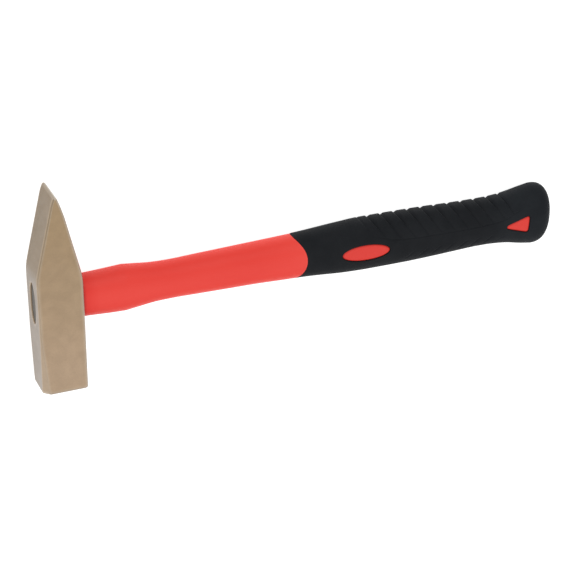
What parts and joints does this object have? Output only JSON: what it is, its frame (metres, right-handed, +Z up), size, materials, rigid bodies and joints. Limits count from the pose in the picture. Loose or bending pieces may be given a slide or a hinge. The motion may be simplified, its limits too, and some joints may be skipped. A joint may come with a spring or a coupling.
{
  "type": "cross-peen hammer",
  "caption": "Cross-peen hammer with a bronze-coloured head, a red moulded fibreglass handle and a ribbed black grip.",
  "frame": {"origin": "on the resting cheek of the head, under the centre of the eye", "axes": "+X along the handle from the eye to the butt, +Y along the head to the peen, +Z up through the thickness as the hammer lies on its cheek"},
  "size_m": [0.3258, 0.123, 0.023],
  "materials": {
    "head_bronze": "matte forged copper alloy, edges slightly rubbed",
    "eye_resin": "cast dark grey epoxy",
    "fibreglass": "pultruded glass-fibre rod",
    "handle_red": "moulded red polymer, soft satin",
    "grip_black": "matte moulded elastomer"
  },
  "bodies": {
    "root": {"head": "head_bronze", "eye_resin": "eye_resin", "fibreglass_core": "fibreglass", "handle_body": "handle_red", "grip": "grip_black"}
  },
  "joints": []
}
